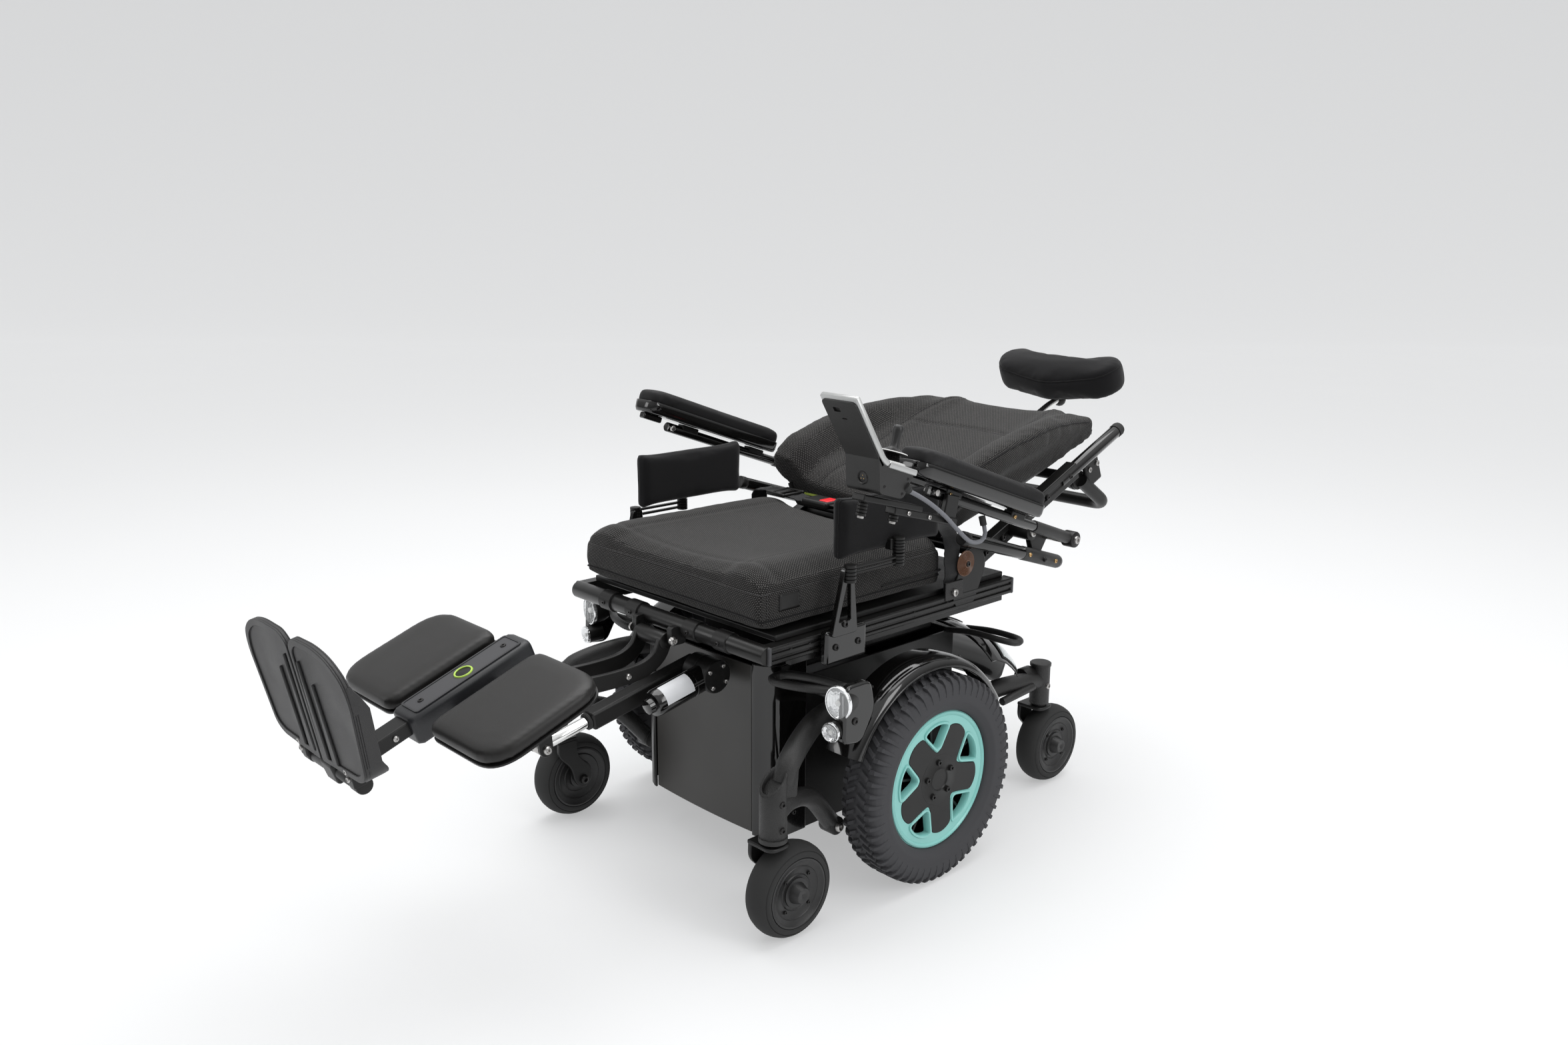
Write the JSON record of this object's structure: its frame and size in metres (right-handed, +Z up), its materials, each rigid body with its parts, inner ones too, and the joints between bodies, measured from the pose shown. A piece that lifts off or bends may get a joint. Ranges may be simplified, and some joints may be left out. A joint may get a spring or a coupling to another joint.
{
  "type": "power wheelchair",
  "caption": "Mid-wheel-drive power wheelchair with tilting seat, reclining back, flip-up arms, joystick and raised centre leg rest with split footplates.",
  "frame": {"origin": "middle of the bounding box's footprint, on the ground", "axes": "+Z up, -Y is the way the chair faces, +X is the chair's left (joystick) side"},
  "size_m": [0.741, 1.7506, 0.843],
  "materials": {
    "cable_jacket": "grey-blue jacket",
    "caster_rubber": "satin moulded",
    "chrome_steel": "polished",
    "dark_casing": "dark matt casing",
    "gloss_black_plastic": "gloss black",
    "grey_plastic": "textured dark grey",
    "knit_fabric": "plain black cover",
    "mesh_fabric": "charcoal spacer mesh",
    "powder_coat": "satin black powder coat",
    "satin_black_plastic": "satin black",
    "teal_plastic": "satin gloss teal",
    "tyre_rubber": "matt, lightly dusted grey-black",
    "vinyl": "smooth dark brown-grey vinyl",
    "webbing": "black woven webbing"
  },
  "bodies": {
    "base": {"chassis_tray": "powder_coat", "battery_pack": "dark_casing", "front_cover": "satin_black_plastic", "rear_cover": "gloss_black_plastic", "tilt_base": "powder_coat", "fender_left": "gloss_black_plastic", "fender_right": "gloss_black_plastic", "headlight_left": "satin_black_plastic", "headlight_right": "satin_black_plastic", "motor_left": "dark_casing", "motor_right": "dark_casing"},
    "front_arm_left": {"front_arm_left": "powder_coat"},
    "rear_arm_left": {"rear_arm_left": "powder_coat"},
    "wheel_left": {"drive_tyre_left": "tyre_rubber", "drive_rim_left": "satin_black_plastic", "rim_ring_left": "teal_plastic"},
    "fork_front_left": {"caster_fork_front_left": "powder_coat"},
    "caster_front_left": {"caster_wheel_front_left": "caster_rubber"},
    "fork_rear_left": {"caster_fork_rear_left": "powder_coat"},
    "caster_rear_left": {"caster_wheel_rear_left": "caster_rubber"},
    "front_arm_right": {"front_arm_right": "powder_coat"},
    "rear_arm_right": {"rear_arm_right": "powder_coat"},
    "wheel_right": {"drive_tyre_right": "tyre_rubber", "drive_rim_right": "satin_black_plastic", "rim_ring_right": "teal_plastic"},
    "fork_front_right": {"caster_fork_front_right": "powder_coat"},
    "caster_front_right": {"caster_wheel_front_right": "caster_rubber"},
    "fork_rear_right": {"caster_fork_rear_right": "powder_coat"},
    "caster_rear_right": {"caster_wheel_rear_right": "caster_rubber"},
    "seat": {"seat_frame": "powder_coat", "seat_cushion": "mesh_fabric", "lap_belt": "webbing", "side_bracket_left": "powder_coat", "side_bracket_right": "powder_coat"},
    "back_frame": {"back_frame": "powder_coat", "push_bar": "satin_black_plastic"},
    "back": {"back_shell": "satin_black_plastic", "back_cushion": "mesh_fabric"},
    "headrest_stem": {"headrest_stem": "chrome_steel"},
    "headrest_pad": {"headrest_pad": "knit_fabric"},
    "side_pad_left": {"side_pad_left": "knit_fabric"},
    "arm_link_left": {"arm_link_left": "powder_coat"},
    "arm_left": {"arm_tube_left": "powder_coat", "arm_pad_left": "knit_fabric", "remote_bracket": "powder_coat", "remote_cable": "cable_jacket"},
    "side_pad_right": {"side_pad_right": "knit_fabric"},
    "arm_link_right": {"arm_link_right": "powder_coat"},
    "arm_right": {"arm_tube_right": "powder_coat", "arm_pad_right": "knit_fabric"},
    "remote": {"remote_body": "grey_plastic"},
    "joystick": {"joystick_knob": "satin_black_plastic"},
    "leg": {"leg_arm": "powder_coat"},
    "leg_slide": {"leg_beam": "grey_plastic"},
    "calf_pad_left": {"calf_pad_left": "vinyl"},
    "footplate_left": {"footplate_left": "grey_plastic"},
    "calf_pad_right": {"calf_pad_right": "vinyl"},
    "footplate_right": {"footplate_right": "grey_plastic"},
    "actuator": {"leg_actuator": "satin_black_plastic"},
    "rod": {"leg_rod": "chrome_steel"}
  },
  "joints": [
    {"name": "front_arm_left_drop", "type": "hinge", "parent": "base", "child": "front_arm_left", "pos_m": [0.1925, -0.012, 0.29], "axis": [1, 0, 0], "range_deg": [0, 8]},
    {"name": "rear_arm_left_drop", "type": "hinge", "parent": "base", "child": "rear_arm_left", "pos_m": [0.1925, 0.258, 0.2], "axis": [-1, 0, 0], "range_deg": [0, 8]},
    {"name": "wheel_left_spin", "type": "hinge", "parent": "base", "child": "wheel_left", "pos_m": [0.3015, 0.058, 0.178], "axis": [1, 0, 0], "continuous": true},
    {"name": "caster_front_left_swivel", "type": "hinge", "parent": "front_arm_left", "child": "fork_front_left", "pos_m": [0.2843, -0.2784, 0.157], "axis": [0, 0, 1], "continuous": true},
    {"name": "caster_front_left_spin", "type": "hinge", "parent": "fork_front_left", "child": "caster_front_left", "pos_m": [0.2843, -0.2464, 0.0766], "axis": [1, 0, 0], "continuous": true},
    {"name": "caster_rear_left_swivel", "type": "hinge", "parent": "rear_arm_left", "child": "fork_rear_left", "pos_m": [0.2052, 0.4956, 0.157], "axis": [0, 0, 1], "continuous": true},
    {"name": "caster_rear_left_spin", "type": "hinge", "parent": "fork_rear_left", "child": "caster_rear_left", "pos_m": [0.2052, 0.5276, 0.0766], "axis": [1, 0, 0], "continuous": true},
    {"name": "front_arm_right_drop", "type": "hinge", "parent": "base", "child": "front_arm_right", "pos_m": [-0.2075, -0.012, 0.29], "axis": [1, 0, 0], "range_deg": [0, 8]},
    {"name": "rear_arm_right_drop", "type": "hinge", "parent": "base", "child": "rear_arm_right", "pos_m": [-0.2075, 0.258, 0.2], "axis": [-1, 0, 0], "range_deg": [0, 8]},
    {"name": "wheel_right_spin", "type": "hinge", "parent": "base", "child": "wheel_right", "pos_m": [-0.3165, 0.058, 0.178], "axis": [1, 0, 0], "continuous": true},
    {"name": "caster_front_right_swivel", "type": "hinge", "parent": "front_arm_right", "child": "fork_front_right", "pos_m": [-0.2993, -0.2784, 0.157], "axis": [0, 0, 1], "continuous": true},
    {"name": "caster_front_right_spin", "type": "hinge", "parent": "fork_front_right", "child": "caster_front_right", "pos_m": [-0.2993, -0.2464, 0.0766], "axis": [1, 0, 0], "continuous": true},
    {"name": "caster_rear_right_swivel", "type": "hinge", "parent": "rear_arm_right", "child": "fork_rear_right", "pos_m": [-0.2202, 0.4956, 0.157], "axis": [0, 0, 1], "continuous": true},
    {"name": "caster_rear_right_spin", "type": "hinge", "parent": "fork_rear_right", "child": "caster_rear_right", "pos_m": [-0.2202, 0.5276, 0.0766], "axis": [1, 0, 0], "continuous": true},
    {"name": "seat_tilt", "type": "hinge", "parent": "base", "child": "seat", "pos_m": [-0.0075, 0.293, 0.408], "axis": [-1, 0, 0], "range_deg": [0, 20]},
    {"name": "back_recline", "type": "hinge", "parent": "seat", "child": "back_frame", "pos_m": [-0.0075, 0.228, 0.485], "axis": [1, 0, 0], "range_deg": [0, 62]},
    {"name": "back_shear", "type": "slide", "parent": "back_frame", "child": "back", "axis": [0, 0.9198, 0.3923], "range_m": [0, 0.08]},
    {"name": "headrest_height", "type": "slide", "parent": "back_frame", "child": "headrest_stem", "axis": [0, 0.9198, 0.3923], "range_m": [0, 0.05]},
    {"name": "headrest_tilt", "type": "hinge", "parent": "headrest_stem", "child": "headrest_pad", "pos_m": [-0.0075, 0.815, 0.706], "axis": [-1, 0, 0], "range_deg": [0, 25]},
    {"name": "side_pad_left_swing", "type": "hinge", "parent": "seat", "child": "side_pad_left", "pos_m": [0.265, 0.008, 0.56], "axis": [0, 0, -1], "range_deg": [-12, 0]},
    {"name": "arm_link_left_level", "type": "hinge", "parent": "back_frame", "child": "arm_link_left", "pos_m": [0.2175, 0.358, 0.54045], "axis": [1, 0, 0], "range_deg": [-42, 0]},
    {"name": "arm_left_flip", "type": "hinge", "parent": "arm_link_left", "child": "arm_left", "pos_m": [0.3205, 0.403, 0.5305], "axis": [-1, 0, 0], "range_deg": [0, 90]},
    {"name": "side_pad_right_swing", "type": "hinge", "parent": "seat", "child": "side_pad_right", "pos_m": [-0.28, 0.008, 0.56], "axis": [0, 0, 1], "range_deg": [-12, 0]},
    {"name": "arm_link_right_level", "type": "hinge", "parent": "back_frame", "child": "arm_link_right", "pos_m": [-0.2325, 0.358, 0.54045], "axis": [1, 0, 0], "range_deg": [-42, 0]},
    {"name": "arm_right_flip", "type": "hinge", "parent": "arm_link_right", "child": "arm_right", "pos_m": [-0.3355, 0.403, 0.5525], "axis": [-1, 0, 0], "range_deg": [0, 90]},
    {"name": "remote_swing", "type": "hinge", "parent": "arm_left", "child": "remote", "pos_m": [0.3645, -0.089, 0.677], "axis": [0, 0.2672, 0.9636], "range_deg": [0, 90]},
    {"name": "joystick_lean", "type": "hinge", "parent": "remote", "child": "joystick", "pos_m": [0.3335, -0.09, 0.7305], "axis": [1, 0, 0], "range_deg": [-12, 12], "stiffness_Nm_per_rad": 0.5},
    {"name": "leg_elevate", "type": "hinge", "parent": "seat", "child": "leg", "pos_m": [-0.0075, -0.276, 0.42], "axis": [1, 0, 0], "range_deg": [0, 50]},
    {"name": "leg_length", "type": "slide", "parent": "leg", "child": "leg_slide", "axis": [0, 0.9379, 0.3469], "range_m": [0, 0.12]},
    {"name": "calf_pad_left_swing", "type": "hinge", "parent": "leg_slide", "child": "calf_pad_left", "pos_m": [0.0355, -0.6133, 0.41116], "axis": [0, 0.9379, 0.3469], "range_deg": [0, 60]},
    {"name": "footplate_left_flip", "type": "hinge", "parent": "leg_slide", "child": "footplate_left", "pos_m": [-0.0075, -0.818, 0.352], "axis": [-1, 0, 0], "range_deg": [0, 40]},
    {"name": "calf_pad_right_swing", "type": "hinge", "parent": "leg_slide", "child": "calf_pad_right", "pos_m": [-0.0505, -0.6133, 0.41116], "axis": [0, -0.9379, -0.3469], "range_deg": [0, 60]},
    {"name": "footplate_right_flip", "type": "hinge", "parent": "leg_slide", "child": "footplate_right", "pos_m": [-0.0075, -0.818, 0.352], "axis": [-1, 0, 0], "range_deg": [0, 40]},
    {"name": "actuator_pivot", "type": "hinge", "parent": "seat", "child": "actuator", "pos_m": [0.0125, -0.217, 0.36], "axis": [1, 0, 0], "range_deg": [0, 47.5]},
    {"name": "rod_slide", "type": "slide", "parent": "actuator", "child": "rod", "axis": [0, 0.9794, 0.2019], "range_m": [0, 0.0691]}
  ],
  "couplings": [
    {"joint": "back_shear", "follows": "back_recline", "m_per_rad": 0.0738},
    {"joint": "arm_link_left_level", "follows": "back_recline", "ratio": -0.677},
    {"joint": "arm_link_right_level", "follows": "back_recline", "ratio": -0.677},
    {"joint": "leg_length", "follows": "leg_elevate", "m_per_rad": 0.137},
    {"joint": "actuator_pivot", "follows": "leg_elevate", "ratio": 0.93},
    {"joint": "rod_slide", "follows": "leg_elevate", "m_per_rad": 0.078}
  ]
}
